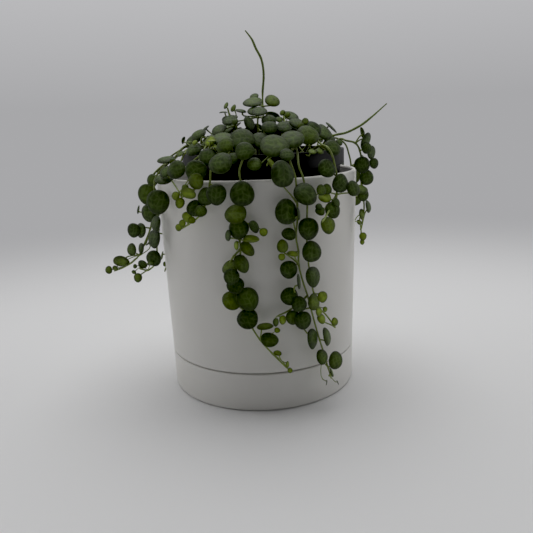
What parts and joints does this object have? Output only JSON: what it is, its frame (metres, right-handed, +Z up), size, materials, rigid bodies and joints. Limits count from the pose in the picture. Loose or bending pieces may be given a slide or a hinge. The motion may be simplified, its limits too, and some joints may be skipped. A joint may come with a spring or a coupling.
{
  "type": "potted string of turtles plant",
  "caption": "Trailing succulent with small round leaves on thin stems, in a black nursery pot set inside a white pot that stands on its matching saucer.",
  "frame": {"origin": "centre of the saucer's underside, on the surface the pot stands on", "axes": "+Z up along the white pot's axis; -Y is the front, with the longest front vine; +X to the right seen from the front"},
  "size_m": [0.1697, 0.145, 0.2092],
  "materials": {
    "glazed_white_ceramic": "satin",
    "black_polypropylene": "satin",
    "potting_mix": "matte",
    "succulent_leaf_green": "satin",
    "flower_spike_olive": "matte"
  },
  "bodies": {
    "root": {"saucer": "glazed_white_ceramic", "outer_pot": "glazed_white_ceramic", "nursery_pot": "black_polypropylene", "potting_mix": "potting_mix", "left_outer_vine": "succulent_leaf_green", "left_inner_vine": "succulent_leaf_green", "left_rim_shoot": "succulent_leaf_green", "left_front_vine": "succulent_leaf_green", "front_left_vine": "succulent_leaf_green", "front_centre_vine": "succulent_leaf_green", "front_right_vine": "succulent_leaf_green", "right_front_vine": "succulent_leaf_green", "right_vine": "succulent_leaf_green", "left_crown_shoot": "succulent_leaf_green", "left_top_shoot": "succulent_leaf_green", "front_top_shoot": "succulent_leaf_green", "front_right_top_shoot": "succulent_leaf_green", "right_top_shoot": "succulent_leaf_green", "right_low_shoot": "succulent_leaf_green", "left_high_shoot": "succulent_leaf_green", "centre_shoot": "succulent_leaf_green", "centre_right_shoot": "succulent_leaf_green", "back_vine_1": "succulent_leaf_green", "back_vine_2": "succulent_leaf_green", "back_vine_3": "succulent_leaf_green", "back_vine_4": "succulent_leaf_green", "back_vine_5": "succulent_leaf_green", "back_vine_6": "succulent_leaf_green", "back_vine_7": "succulent_leaf_green", "back_vine_8": "succulent_leaf_green", "back_shoot_1": "succulent_leaf_green", "back_shoot_2": "succulent_leaf_green", "back_shoot_3": "succulent_leaf_green", "back_shoot_4": "succulent_leaf_green", "back_shoot_5": "succulent_leaf_green", "back_shoot_6": "succulent_leaf_green", "upright_flower_spike": "flower_spike_olive", "side_flower_spike": "flower_spike_olive"}
  },
  "joints": []
}
